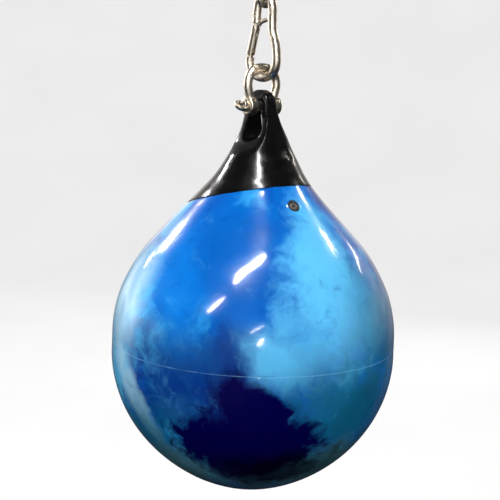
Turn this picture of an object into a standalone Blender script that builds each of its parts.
"""Water-filled uppercut bag with its hanging hardware, as separate pieces.

A teardrop vinyl bladder full of water ends in a thick moulded neck with an eye. A bow shackle's pin
goes through the eye, a spring snap hook holds the shackle, and a short chain carries the hook.
Metres, +Z up. The origin is the hang point, the inside top of the highest chain link. The shackle
and its pin lie in the XZ plane, the snap hook in the YZ plane, and the filling valve faces -Y.
"""
import math

import bmesh
import bpy
from mathutils import Matrix, Vector

# Driving dimensions, in metres
GAP = 0.0004  # clearance between pieces that touch

LINK_ROD = 0.008
LINK_INSIDE_LENGTH = 0.032
LINK_HALF_WIDTH = 0.0102  # middle of the link to the middle of its side
LINK_COUNT = 3

HOOK_ROD = 0.012
HOOK_HEIGHT = 0.103  # between the rod's centre lines at both ends
HOOK_BAR_ROD = 0.006
HOOK_BAR_HEIGHT = 0.0718  # above the centre line of the hook's wide end
HOOK_BAR_SLANT = 0.0028  # each end above or below the middle, lower on the gate's side
GATE_ROD = 0.0112
GATE_PIVOT = (0.0170, 0.0625)  # Y and height above the centre line of the wide end
GATE_TIP = (0.0258, 0.0290)
TONGUE = 0.0036  # thickness of the hook's tongues, which the gate's slots hold
GATE_SLOT = 0.0046
LATCH_PIN_BACK = 0.0035  # how far the latch pin sits back from the gate's tip
SPRING_BORE = 0.0024
SPRING_START = 0.0115  # from the pivot along the gate
SPRING_END = 0.0225
RIVET_RADIUS = 0.0015

SHACKLE_ROD = 0.012
SHACKLE_HEIGHT = 0.0493  # pin axis to the centre line of the bow's crown
EAR_CENTRE = 0.0200
EAR_THICKNESS = 0.013
EAR_RADIUS = 0.0125
PIN_RADIUS = 0.006
THUMB_RADIUS = 0.0086
THUMB_THICKNESS = 0.0055
THUMB_HOLE = 0.0040
THUMB_LEAN = math.radians(-50)

BAG_RADIUS = 0.1905
BAG_DROP = 0.1905  # centre of the bag to its lowest point
BOTTOM_TAPER = 0.56  # power of the lower half's outline; 0.5 would be a plain ellipse
PIN_HEIGHT = 0.328  # centre of the bag to the pin's axis
SKIN = 0.0045  # vinyl thickness in the collar, which the wall below doubles

NECK_EDGE_HEIGHT = 0.214  # mean height of the neck's lower edge, which is cut at a slant
NECK_EDGE_RISE = 0.0175  # how much higher the edge is on the valve's side
EDGE_FLAT_BELOW = 0.100  # rings of the bag are level up to here
CAVITY_TOP = 0.246
NECK_TOP_RADIUS = 0.0212

VALVE_HEIGHT = 0.206
VALVE_TURN = math.radians(9)  # from -Y towards -X
VALVE_TILT = math.radians(38)  # above horizontal
FLANGE_RADIUS = 0.008
FLANGE_THICKNESS = 0.0020
FLANGE_PROUD = 0.0002
BARREL_RADIUS = 0.0066
BARREL_LENGTH = 0.0135
SCREW_HEAD_RADIUS = 0.005
SCREW_HEAD_THICKNESS = 0.0022
SCREW_SHAFT_RADIUS = 0.0036
SCREW_END = 0.0115
HEX_ACROSS = 0.0040
HEX_DEPTH = 0.0045
SEAL_ROD_RADIUS = 0.00045

# Heights of the bag's rings above its centre, and points round each ring
BAG_SEGMENTS = 40
OUTER_RINGS = [-0.1885, -0.180, -0.163, -0.136, -0.100, -0.055, -0.010, 0.035, 0.075, 0.110,
               0.140, 0.165, 0.188]
INNER_RINGS = [0.188, 0.160, 0.125, 0.080, 0.030, -0.030, -0.085, -0.130, -0.160, -0.176]
COLLAR_RINGS = [0.214, 0.230, 0.242]

# Outlines as (height, half width) pairs, heights above the bag's centre
BAG_OUTLINE = [(0.0, 0.1905), (0.048, 0.188), (0.088, 0.177), (0.134, 0.151), (0.171, 0.1185),
               (0.208, 0.084), (0.235, 0.0625), (0.267, 0.0425), (0.287, 0.0345), (0.304, 0.0295),
               (0.320, 0.0275), (0.350, 0.0265)]
NECK_THICKNESS = [(0.250, 0.110), (0.260, 0.062), (0.267, 0.043), (0.274, 0.033), (0.280, 0.027),
                  (0.287, 0.0215), (0.295, 0.016), (0.303, 0.0115), (0.312, 0.0092), (0.328, 0.0085),
                  (0.342, 0.0080), (0.350, 0.0055)]
NECK_WIDTH = [(0.248, 0.110), (0.260, 0.055), (0.269, 0.0410), (0.282, 0.0351), (0.291, 0.0315),
              (0.303, 0.0275), (0.317, 0.0240), (0.328, 0.0210)]
EYE_OUTLINE = [(0.2810, 0.0), (0.2835, 0.0105), (0.2900, 0.0180), (0.2990, 0.0200),
               (0.3080, 0.0165), (0.3170, 0.0125), (0.3265, 0.0095), (0.3320, 0.0060), (0.3344, 0.0)]
# The hook's centre line as (Y, height above the wide end): from the nose round to the gate's hinge
HOOK_LINE = [(0.0263, 0.0255), (0.0264, 0.0190), (0.0228, 0.0098), (0.0142, 0.0028), (0.0, 0.0),
             (-0.0142, 0.0028), (-0.0228, 0.0098), (-0.0262, 0.0200), (-0.0256, 0.0300),
             (-0.0242, 0.0400), (-0.0214, 0.0485), (-0.0178, 0.0560), (-0.0158, 0.0640),
             (-0.0152, 0.0740), (-0.0150, 0.0850), (-0.0128, 0.0955), (-0.0072, 0.1013),
             (0.0, 0.1030), (0.0072, 0.1013), (0.0128, 0.0955), (0.0150, 0.0850),
             (0.0152, 0.0760), (0.0157, 0.0697)]
# The shackle's centre line as (X, height above the pin), one half
BOW_LINE = [(0.0200, 0.0), (0.0202, 0.0095), (0.0227, 0.0190), (0.0243, 0.0270), (0.0228, 0.0365),
            (0.0174, 0.0442), (0.0092, 0.0482), (0.0, 0.0493)]

# Heights that follow from the pieces hanging in each other
LINK_STEP = LINK_INSIDE_LENGTH + LINK_ROD  # between a link's end centre lines
LINK_TOPS = [LINK_ROD / 2 - n * (LINK_STEP - LINK_ROD - GAP) for n in range(LINK_COUNT)]
CHAIN_END = LINK_TOPS[-1] - LINK_STEP
HOOK_TOP = CHAIN_END + (LINK_ROD + HOOK_ROD) / 2 + GAP
HOOK_END = HOOK_TOP - HOOK_HEIGHT
CROWN = HOOK_END + (HOOK_ROD + SHACKLE_ROD) / 2 + GAP
PIN_Z = CROWN - SHACKLE_HEIGHT
BAG_Z = PIN_Z - PIN_HEIGHT

X_AXIS = Vector((1, 0, 0))
Y_AXIS = Vector((0, 1, 0))
Z_AXIS = Vector((0, 0, 1))


# ---------------------------------------------------------------- general tools
def clear_scene():
    for obj in list(bpy.data.objects):
        bpy.data.objects.remove(obj, do_unlink=True)


def make_material(name, color, roughness, metallic=0.0):
    material = bpy.data.materials.new(name)
    material.use_nodes = True
    shader = material.node_tree.nodes["Principled BSDF"]
    shader.inputs["Base Color"].default_value = (*color, 1.0)
    shader.inputs["Roughness"].default_value = roughness
    shader.inputs["Metallic"].default_value = metallic
    return material


def make_pivot(name, location, parent=None):
    """An empty on a joint's axis. Its location is given in the world."""
    pivot = bpy.data.objects.new(name, None)
    pivot.empty_display_size = 0.02
    bpy.context.collection.objects.link(pivot)
    pivot["world"] = tuple(location)
    pivot.parent = parent
    pivot.location = Vector(location) - (Vector(parent["world"]) if parent else Vector())
    return pivot


def make_object(name, bm, material, pivot, sharp_angle=40):
    """A mesh object built in world coordinates, hung on its joint's pivot."""
    bmesh.ops.recalc_face_normals(bm, faces=bm.faces)
    mesh = bpy.data.meshes.new(name)
    bm.to_mesh(mesh)
    bm.free()
    mesh.shade_smooth()
    mesh.set_sharp_from_angle(angle=math.radians(sharp_angle))
    obj = bpy.data.objects.new(name, mesh)
    bpy.context.collection.objects.link(obj)
    if material:
        mesh.materials.append(material)
    obj.parent = pivot
    obj.location = -Vector(pivot["world"])
    return obj


def combine(obj, name, bm, operation):
    """Adds or cuts a helper shape with a Boolean."""
    helper = make_object(name, bm, None, obj.parent)
    helper.hide_render = True
    helper.display_type = "WIRE"
    modifier = obj.modifiers.new(name, "BOOLEAN")
    modifier.operation = operation
    modifier.object = helper
    modifier.solver = "EXACT"


def interpolate(points, x):
    """A smooth curve through (x, y) points, held level past its ends."""
    if x <= points[0][0]:
        return points[0][1]
    if x >= points[-1][0]:
        return points[-1][1]
    i = next(n for n in range(len(points) - 1) if x <= points[n + 1][0])

    def slope(n):
        before, after = max(n - 1, 0), min(n + 1, len(points) - 1)
        return (points[after][1] - points[before][1]) / (points[after][0] - points[before][0])

    (x0, y0), (x1, y1) = points[i], points[i + 1]
    width = x1 - x0
    t = (x - x0) / width
    return ((2 * t**3 - 3 * t**2 + 1) * y0 + (t**3 - 2 * t**2 + t) * width * slope(i)
            + (3 * t**2 - 2 * t**3) * y1 + (t**3 - t**2) * width * slope(i + 1))


def smooth_line(points, steps):
    """More points on a smooth open curve through the given 2D points."""
    line = []
    for i in range(len(points) - 1):
        a, b = Vector(points[max(i - 1, 0)]), Vector(points[i])
        c, d = Vector(points[i + 1]), Vector(points[min(i + 2, len(points) - 1)])
        for step in range(steps):
            t = step / steps
            line.append(0.5 * (2 * b + (c - a) * t + (2 * a - 5 * b + 4 * c - d) * t**2
                               + (3 * b - a - 3 * c + d) * t**3))
    return line + [Vector(points[-1])]


def add_grid(bm, rows, closed_rows=False):
    """Skins rows of points; a row with one point is a pole."""
    made = [[bm.verts.new(p) for p in row] for row in rows]
    pairs = list(zip(made, made[1:]))
    if closed_rows:
        pairs.append((made[-1], made[0]))
    for low, high in pairs:
        count = max(len(low), len(high))
        for i in range(count):
            j = (i + 1) % count
            if len(low) == 1:
                bm.faces.new((low[0], high[j], high[i]))
            elif len(high) == 1:
                bm.faces.new((low[i], low[j], high[0]))
            else:
                bm.faces.new((low[i], low[j], high[j], high[i]))
    return made


def add_rod(bm, line, radius, normal, sides, closed):
    """A round rod along a flat 3D line whose plane has the given normal."""
    rows = []
    count = len(line)
    for i, point in enumerate(line):
        before = line[i - 1] if closed or i else point
        after = line[(i + 1) % count] if closed or i < count - 1 else point
        side = (after - before).normalized().cross(normal)
        turns = [2 * math.pi * n / sides for n in range(sides)]
        rows.append([point + radius * (math.cos(a) * side + math.sin(a) * normal) for a in turns])
    made = add_grid(bm, rows, closed)
    if not closed:
        bm.faces.new(made[0])
        bm.faces.new(list(reversed(made[-1])))


def turned(profile, segments, matrix):
    """A turned solid from (radius, height) points; radius 0 makes a pole."""
    bm = bmesh.new()
    rows = []
    for radius, height in profile:
        if radius == 0:
            rows.append([matrix @ Vector((0, 0, height))])
            continue
        turns = [2 * math.pi * n / segments for n in range(segments)]
        rows.append([matrix @ Vector((radius * math.cos(a), radius * math.sin(a), height))
                     for a in turns])
    add_grid(bm, rows, closed_rows=len(rows[0]) > 1)
    return bm


def cylinder(radius, low, high, segments, matrix):
    return turned([(0, low), (radius, low), (radius, high), (0, high)], segments, matrix)


def axis_matrix(origin, axis):
    """A frame at origin whose Z runs along axis."""
    turn = Z_AXIS.rotation_difference(Vector(axis)).to_matrix().to_4x4()
    return Matrix.Translation(origin) @ turn


def box_mesh(frame, center, size):
    bm = bmesh.new()
    place = frame @ Matrix.Translation(center) @ Matrix.Diagonal((*size, 1))
    bmesh.ops.create_cube(bm, size=1, matrix=place)
    return bm


# ---------------------------------------------------------------- chain
def chain_link(number, top, material, pivot):
    """A long link of round rod; odd links lie in the XZ plane and even ones in the YZ plane."""
    across, normal = (X_AXIS, Y_AXIS) if number % 2 else (Y_AXIS, X_AXIS)
    steps = 7
    line = []
    for end, middle in ((0, top - LINK_HALF_WIDTH), (1, top - LINK_STEP + LINK_HALF_WIDTH)):
        for step in range(steps + 1):
            turn = math.pi * (end + step / steps)
            line.append(across * (LINK_HALF_WIDTH * math.cos(turn))
                        + Z_AXIS * (middle + LINK_HALF_WIDTH * math.sin(turn)))
    bm = bmesh.new()
    add_rod(bm, line, LINK_ROD / 2, normal, 12, closed=True)
    make_object(f"chain_link_{number}", bm, material, pivot)


# ---------------------------------------------------------------- snap hook
def hook_point(y, height):
    return Vector((0, y, HOOK_END + height))


def gate_frame():
    """A frame at the gate's pivot with Z towards its tip and X across the hook."""
    pivot, tip = hook_point(*GATE_PIVOT), hook_point(*GATE_TIP)
    along = (tip - pivot).normalized()
    frame = Matrix((X_AXIS, along.cross(X_AXIS), along)).transposed().to_4x4()
    return Matrix.Translation(pivot) @ frame, (tip - pivot).length


def hook_body(material, pivot):
    line = [hook_point(*p) for p in smooth_line(HOOK_LINE, 2)]
    bm = bmesh.new()
    add_rod(bm, line, HOOK_ROD / 2, X_AXIS, 12, closed=False)
    body = make_object("hook_body", bm, material, pivot)
    frame, length = gate_frame()
    # tongues in line with the gate: one takes the rivet, the other hooks over the latch pin
    combine(body, "hinge_tongue", box_mesh(frame, (0, 0, -0.0025), (TONGUE, 0.0080, 0.0150)), "UNION")
    nose = box_mesh(frame, (0, 0, length + 0.0010), (TONGUE, 0.0076, 0.0150))
    combine(body, "nose_tongue", nose, "UNION")
    across = axis_matrix(frame.translation, X_AXIS)
    combine(body, "rivet_hole", cylinder(RIVET_RADIUS + GAP, -0.010, 0.010, 16, across),
            "DIFFERENCE")
    # the latch pin's notch is open towards the inside of the hook
    notch = box_mesh(frame, (0, 0.0030, length - LATCH_PIN_BACK), (0.0120, 0.0098, 0.0052))
    combine(body, "latch_notch", notch, "DIFFERENCE")


def hook_eye_bar(material, pivot):
    """The slanted cross bar that closes off the hook's narrow end as an eye."""
    reach = 0.0150 - HOOK_ROD / 2 - 2 * GAP
    rise = 0.0010
    line = [hook_point(reach * u, HOOK_BAR_HEIGHT - HOOK_BAR_SLANT * u + rise * (1 - u * u))
            for u in (n / 3 - 1 for n in range(7))]
    bm = bmesh.new()
    add_rod(bm, line, HOOK_BAR_ROD / 2, X_AXIS, 12, closed=False)
    make_object("hook_eye_bar", bm, material, pivot)


def hook_gate(material, pivot):
    frame, length = gate_frame()
    end = length + 0.0004
    back = -0.0038
    profile = [(0, back), (GATE_ROD / 2 - 0.0015, back), (GATE_ROD / 2, back + 0.0018),
               (GATE_ROD / 2, end - 0.0012), (GATE_ROD / 2 - 0.0012, end), (0, end)]
    gate = make_object("hook_gate", turned(profile, 20, frame), material, pivot)
    combine(gate, "hinge_slot", box_mesh(frame, (0, 0, 0), (GATE_SLOT, 0.02, 0.0140)), "DIFFERENCE")
    nose_slot = box_mesh(frame, (0, 0, end - 0.0035), (GATE_SLOT, 0.02, 0.0095))
    combine(gate, "nose_slot", nose_slot, "DIFFERENCE")
    combine(gate, "spring_bore", cylinder(SPRING_BORE, 0.003, SPRING_END + 0.001, 16, frame),
            "DIFFERENCE")
    for name, along in (("rivet_bore", 0.0), ("latch_bore", length - LATCH_PIN_BACK)):
        across = axis_matrix(frame @ Vector((0, 0, along)), X_AXIS)
        combine(gate, name, cylinder(RIVET_RADIUS + GAP, -0.010, 0.010, 16, across), "DIFFERENCE")


def cross_pin(name, along, half_length, material, pivot):
    """A small round pin across the hook, through both of the gate's cheeks."""
    frame, _ = gate_frame()
    across = axis_matrix(frame @ Vector((0, 0, along)), X_AXIS)
    bm = cylinder(RIVET_RADIUS, -half_length, half_length, 16, across)
    make_object(name, bm, material, pivot)


def gate_spring(material, pivot):
    """A compression spring in the gate's bore, between its floor and the plunger."""
    frame, _ = gate_frame()
    wire, coil, turns, steps, sides = 0.00035, 0.0016, 5, 10, 5
    rows = []
    for n in range(turns * steps + 1):
        a = 2 * math.pi * n / steps
        height = SPRING_START + (SPRING_END - SPRING_START) * n / (turns * steps)
        out = Vector((math.cos(a), math.sin(a), 0))
        rows.append([frame @ (out * (coil + wire * math.cos(b)) + Z_AXIS * (height + wire * math.sin(b)))
                     for b in (2 * math.pi * k / sides for k in range(sides))])
    bm = bmesh.new()
    made = add_grid(bm, rows)
    bm.faces.new(made[0])
    bm.faces.new(list(reversed(made[-1])))
    make_object("gate_spring", bm, material, pivot)


def gate_plunger(material, pivot):
    frame, _ = gate_frame()
    radius = SPRING_BORE - GAP
    profile = [(0, 0.0075), (0.0012, 0.0075), (radius, 0.0083), (radius, SPRING_START - 0.0009),
               (0, SPRING_START - 0.0009)]
    make_object("gate_plunger", turned(profile, 16, frame), material, pivot)


# ---------------------------------------------------------------- shackle
def shackle_bow(material, pivot):
    half = [Vector((x, 0, PIN_Z + z)) for x, z in smooth_line(BOW_LINE, 2)]
    mirrored = [Vector((-p.x, 0, p.z)) for p in reversed(half[:-1])]
    bm = bmesh.new()
    add_rod(bm, half + mirrored, SHACKLE_ROD / 2, Y_AXIS, 12, closed=False)
    bow = make_object("shackle_bow", bm, material, pivot)
    bevel = 0.0012
    for side, name in ((-1, "head_ear"), (1, "thread_ear")):
        frame = axis_matrix(Vector((side * EAR_CENTRE, 0, PIN_Z)), X_AXIS)
        half_width = EAR_THICKNESS / 2
        profile = [(0, -half_width), (EAR_RADIUS - bevel, -half_width),
                   (EAR_RADIUS, bevel - half_width), (EAR_RADIUS, half_width - bevel),
                   (EAR_RADIUS - bevel, half_width), (0, half_width)]
        combine(bow, name, turned(profile, 24, frame), "UNION")
    bore = cylinder(PIN_RADIUS + GAP, -0.05, 0.05, 24, axis_matrix(Vector((0, 0, PIN_Z)), X_AXIS))
    combine(bow, "pin_bore", bore, "DIFFERENCE")


def shackle_pin(material, pivot):
    """The screw pin, with its collar and its flat thumb eye on the -X side."""
    frame = axis_matrix(Vector((0, 0, PIN_Z)), -X_AXIS)
    outer = EAR_CENTRE + EAR_THICKNESS / 2
    thread = 0.0056
    profile = [(0, -outer - 0.0012), (thread - 0.001, -outer - 0.0012), (thread, -outer),
               (thread, -EAR_CENTRE + EAR_THICKNESS / 2), (PIN_RADIUS, -EAR_CENTRE + 0.0070),
               (PIN_RADIUS, outer + GAP), (0.0080, outer + GAP), (0.0080, outer + 0.0026),
               (0.0060, outer + 0.0036), (0, outer + 0.0036)]
    pin = make_object("shackle_pin", turned(profile, 24, frame), material, pivot)
    lean = Matrix.Rotation(THUMB_LEAN, 4, "X")
    middle = Vector((-outer - THUMB_RADIUS - 0.0006, 0, PIN_Z))
    place = Matrix.Translation(middle) @ lean @ Matrix.Rotation(math.pi / 2, 4, "X")
    half = THUMB_THICKNESS / 2
    profile = [(0, -half), (THUMB_RADIUS - 0.001, -half), (THUMB_RADIUS, 0.001 - half),
               (THUMB_RADIUS, half - 0.001), (THUMB_RADIUS - 0.001, half), (0, half)]
    combine(pin, "thumb_eye", turned(profile, 24, place), "UNION")
    combine(pin, "thumb_hole", cylinder(THUMB_HOLE, -0.01, 0.01, 20, place), "DIFFERENCE")


# ---------------------------------------------------------------- bag
def bag_radius(height, inset=0.0):
    if height <= 0:
        share = max(0.0, 1 - (height / (BAG_DROP - inset)) ** 2)
        return (BAG_RADIUS - inset) * share**BOTTOM_TAPER
    return interpolate(BAG_OUTLINE, height) - inset


def edge_rise(turn, height):
    """How far a ring at this height is tilted to follow the neck's slanted edge."""
    blend = min(1.0, max(0.0, (height - EDGE_FLAT_BELOW) / (NECK_EDGE_HEIGHT - EDGE_FLAT_BELOW)))
    blend *= min(1.0, max(0.0, (CAVITY_TOP - height) / (CAVITY_TOP - NECK_EDGE_HEIGHT - 0.008)))
    return -NECK_EDGE_RISE * math.sin(turn) * blend


def bag_ring(height, inset, segments):
    ring = []
    for n in range(segments):
        turn = 2 * math.pi * n / segments
        level = height + edge_rise(turn, height)
        radius = bag_radius(level, inset)
        ring.append(Vector((radius * math.cos(turn), radius * math.sin(turn), BAG_Z + level)))
    return ring


def neck_radius(turn, height):
    """The neck's cross section: a cone with two scooped faces for the eye and two narrow flats."""
    if height >= PIN_HEIGHT:
        top = NECK_TOP_RADIUS**2 - (height - PIN_HEIGHT) ** 2
        width = math.sqrt(max(top, 0.0025**2))
    else:
        width = interpolate(NECK_WIDTH, height)
    thickness = interpolate(NECK_THICKNESS, height)
    power = 12
    total = (bag_radius(height) ** -power + (abs(math.cos(turn)) / thickness) ** power
             + (abs(math.sin(turn)) / width) ** power)
    return total ** (-1 / power)




def bladder(material, pivot):
    lap = SKIN + GAP
    edge = NECK_EDGE_HEIGHT - GAP / 2
    rows = [[Vector((0, 0, BAG_Z - BAG_DROP))]]
    rows += [bag_ring(h, 0, BAG_SEGMENTS) for h in OUTER_RINGS + [edge]]
    # the collar under the neck, then back down inside
    rows += [bag_ring(h, lap, BAG_SEGMENTS) for h in [edge] + COLLAR_RINGS[1:]]
    rows += [bag_ring(h, lap + SKIN, BAG_SEGMENTS) for h in COLLAR_RINGS[::-1] + INNER_RINGS]
    rows += [[Vector((0, 0, BAG_Z - BAG_DROP + lap + SKIN))]]
    bm = bmesh.new()
    add_grid(bm, rows)
    body = make_object("bladder", bm, material, pivot)
    frame = valve_frame()
    combine(body, "valve_hole", cylinder(BARREL_RADIUS + GAP, -0.03, 0.03, 24, frame), "DIFFERENCE")
    seat = cylinder(FLANGE_RADIUS + GAP, -FLANGE_THICKNESS - GAP, 0.03, 24, frame)
    combine(body, "valve_seat", seat, "DIFFERENCE")


def water_fill(material, pivot):
    inset = 2 * SKIN + 3 * GAP
    heights = INNER_RINGS[::-1] + COLLAR_RINGS[:2]
    rows = [[Vector((0, 0, BAG_Z - BAG_DROP + inset))]]
    rows += [bag_ring(h, inset, BAG_SEGMENTS) for h in heights]
    rows += [[Vector((0, 0, BAG_Z + heights[-1]))]]
    bm = bmesh.new()
    add_grid(bm, rows)
    fill = make_object("water_fill", bm, material, pivot)
    clear = cylinder(BARREL_RADIUS + 0.001, -BARREL_LENGTH - 0.001, 0.03, 16, valve_frame())
    combine(fill, "valve_clearance", clear, "DIFFERENCE")


def neck(material, pivot):
    heights = [0.244, 0.254, 0.261, 0.2665, 0.272, 0.278, 0.285, 0.292, 0.299, 0.306, 0.314, 0.322,
               0.330, 0.336, 0.341, 0.3455, 0.3482]
    turns = [2 * math.pi * n / BAG_SEGMENTS for n in range(BAG_SEGMENTS)]
    rows = [[Vector((0, 0, BAG_Z + CAVITY_TOP))]]
    edge = NECK_EDGE_HEIGHT + GAP / 2
    rows += [bag_ring(h, SKIN, BAG_SEGMENTS) for h in (CAVITY_TOP, COLLAR_RINGS[1], edge)]
    rows += [bag_ring(h, 0, BAG_SEGMENTS) for h in (edge, 0.229)]
    for h in heights:
        ring = []
        for turn in turns:
            radius = neck_radius(turn, h)
            ring.append(Vector((radius * math.cos(turn), radius * math.sin(turn), BAG_Z + h)))
        rows.append(ring)
    rows += [[Vector((0, 0, BAG_Z + PIN_HEIGHT + NECK_TOP_RADIUS))]]
    bm = bmesh.new()
    add_grid(bm, rows)
    body = make_object("neck", bm, material, pivot)
    side = [(w, h) for h, w in EYE_OUTLINE]
    line = smooth_line(side, 2)
    outline = line + [Vector((-p.x, p.y)) for p in reversed(line[1:-1])]
    lift = PIN_RADIUS + GAP - (EYE_OUTLINE[-1][0] - PIN_HEIGHT)
    eye = bmesh.new()
    rows = [[Vector((x, p.x, BAG_Z + p.y + lift)) for p in outline] for x in (-0.07, 0.07)]
    made = add_grid(eye, rows)
    eye.faces.new(made[0])
    eye.faces.new(list(reversed(made[-1])))
    combine(body, "eye_hole", eye, "DIFFERENCE")


# ---------------------------------------------------------------- filling valve
def valve_frame():
    """A frame on the bag's surface with Z pointing out along the valve's axis."""
    around = Vector((-math.sin(VALVE_TURN), -math.cos(VALVE_TURN), 0))
    out = around * math.cos(VALVE_TILT) + Z_AXIS * math.sin(VALVE_TILT)
    at = around * bag_radius(VALVE_HEIGHT) + Z_AXIS * (BAG_Z + VALVE_HEIGHT)
    return axis_matrix(at, out)


def valve_body(material, pivot):
    recess = -SCREW_HEAD_THICKNESS - 2 * SEAL_ROD_RADIUS - 2 * GAP
    shaft = SCREW_SHAFT_RADIUS + GAP
    profile = [(SCREW_HEAD_RADIUS + GAP, FLANGE_PROUD), (FLANGE_RADIUS, FLANGE_PROUD),
               (FLANGE_RADIUS, -FLANGE_THICKNESS), (BARREL_RADIUS, -FLANGE_THICKNESS),
               (BARREL_RADIUS, -BARREL_LENGTH), (shaft, -BARREL_LENGTH), (shaft, recess),
               (SCREW_HEAD_RADIUS + GAP, recess)]
    make_object("valve_body", turned(profile, 24, valve_frame()), material, pivot)


def valve_seal(material, pivot):
    center = SCREW_SHAFT_RADIUS + GAP + SEAL_ROD_RADIUS
    height = -SCREW_HEAD_THICKNESS - GAP - SEAL_ROD_RADIUS
    profile = []
    sides = 8
    for n in range(sides):
        turn = -2 * math.pi * n / sides
        profile.append((center + SEAL_ROD_RADIUS * math.cos(turn),
                        height + SEAL_ROD_RADIUS * math.sin(turn)))
    make_object("valve_seal", turned(profile, 24, valve_frame()), material, pivot)


def valve_screw(material, pivot):
    frame = valve_frame()
    point = SCREW_SHAFT_RADIUS - 0.0008
    profile = [(0, -SCREW_END), (point, -SCREW_END), (SCREW_SHAFT_RADIUS, 0.0008 - SCREW_END),
               (SCREW_SHAFT_RADIUS, -SCREW_HEAD_THICKNESS), (SCREW_HEAD_RADIUS, -SCREW_HEAD_THICKNESS),
               (SCREW_HEAD_RADIUS, -0.0004), (SCREW_HEAD_RADIUS - 0.0006, 0), (0, 0)]
    screw = make_object("valve_screw", turned(profile, 24, frame), material, pivot)
    socket = cylinder(HEX_ACROSS / math.sqrt(3), -HEX_DEPTH, HEX_DEPTH, 6, frame)
    combine(screw, "hex_socket", socket, "DIFFERENCE")


# ---------------------------------------------------------------- assembly
def build():
    clear_scene()
    steel = make_material("polished_steel", (0.72, 0.69, 0.64), 0.22, 1.0)
    chain_steel = make_material("chain_steel", (0.50, 0.47, 0.43), 0.35, 1.0)
    spring_steel = make_material("spring_steel", (0.55, 0.55, 0.55), 0.30, 1.0)
    blue_vinyl = make_material("blue_vinyl", (0.02, 0.20, 0.60), 0.18)
    black_vinyl = make_material("black_vinyl", (0.012, 0.012, 0.012), 0.25)
    water = make_material("water", (0.55, 0.75, 0.85), 0.05)
    dark_nylon = make_material("dark_nylon", (0.03, 0.03, 0.035), 0.45)
    grey_nylon = make_material("grey_nylon", (0.45, 0.42, 0.38), 0.50)
    rubber = make_material("seal_rubber", (0.015, 0.015, 0.015), 0.70)

    hang = make_pivot("hang_point", (0, 0, 0))
    parent = hang
    for number in range(LINK_COUNT, 0, -1):
        top = LINK_TOPS[LINK_COUNT - number]
        if number < LINK_COUNT:
            above = LINK_TOPS[LINK_COUNT - number - 1] - LINK_STEP
            parent = make_pivot(f"link_{number}_pivot", (0, 0, above), parent)
        chain_link(number, top, chain_steel, parent)

    hook = make_pivot("hook_pivot", (0, 0, CHAIN_END), parent)
    frame, length = gate_frame()
    hook_body(steel, hook)
    hook_eye_bar(steel, hook)
    cross_pin("gate_rivet", 0.0, 0.0056, steel, hook)
    gate = make_pivot("gate_pivot", frame.translation, hook)
    hook_gate(steel, gate)
    cross_pin("gate_latch_pin", length - LATCH_PIN_BACK, 0.0044, steel, gate)
    gate_spring(spring_steel, gate)
    plunger = make_pivot("plunger_slide", frame.translation, gate)
    gate_plunger(spring_steel, plunger)

    shackle = make_pivot("shackle_pivot", (0, 0, HOOK_END), hook)
    shackle_bow(steel, shackle)
    pin = make_pivot("pin_slide", (0, 0, PIN_Z), shackle)
    shackle_pin(steel, pin)

    bag = make_pivot("bag_pivot", (0, 0, PIN_Z), shackle)
    neck(black_vinyl, bag)
    bladder(blue_vinyl, bag)
    water_fill(water, bag)
    valve_body(dark_nylon, bag)
    plug = make_pivot("valve_plug_slide", valve_frame().translation, bag)
    valve_seal(rubber, plug)
    valve_screw(grey_nylon, plug)


build()
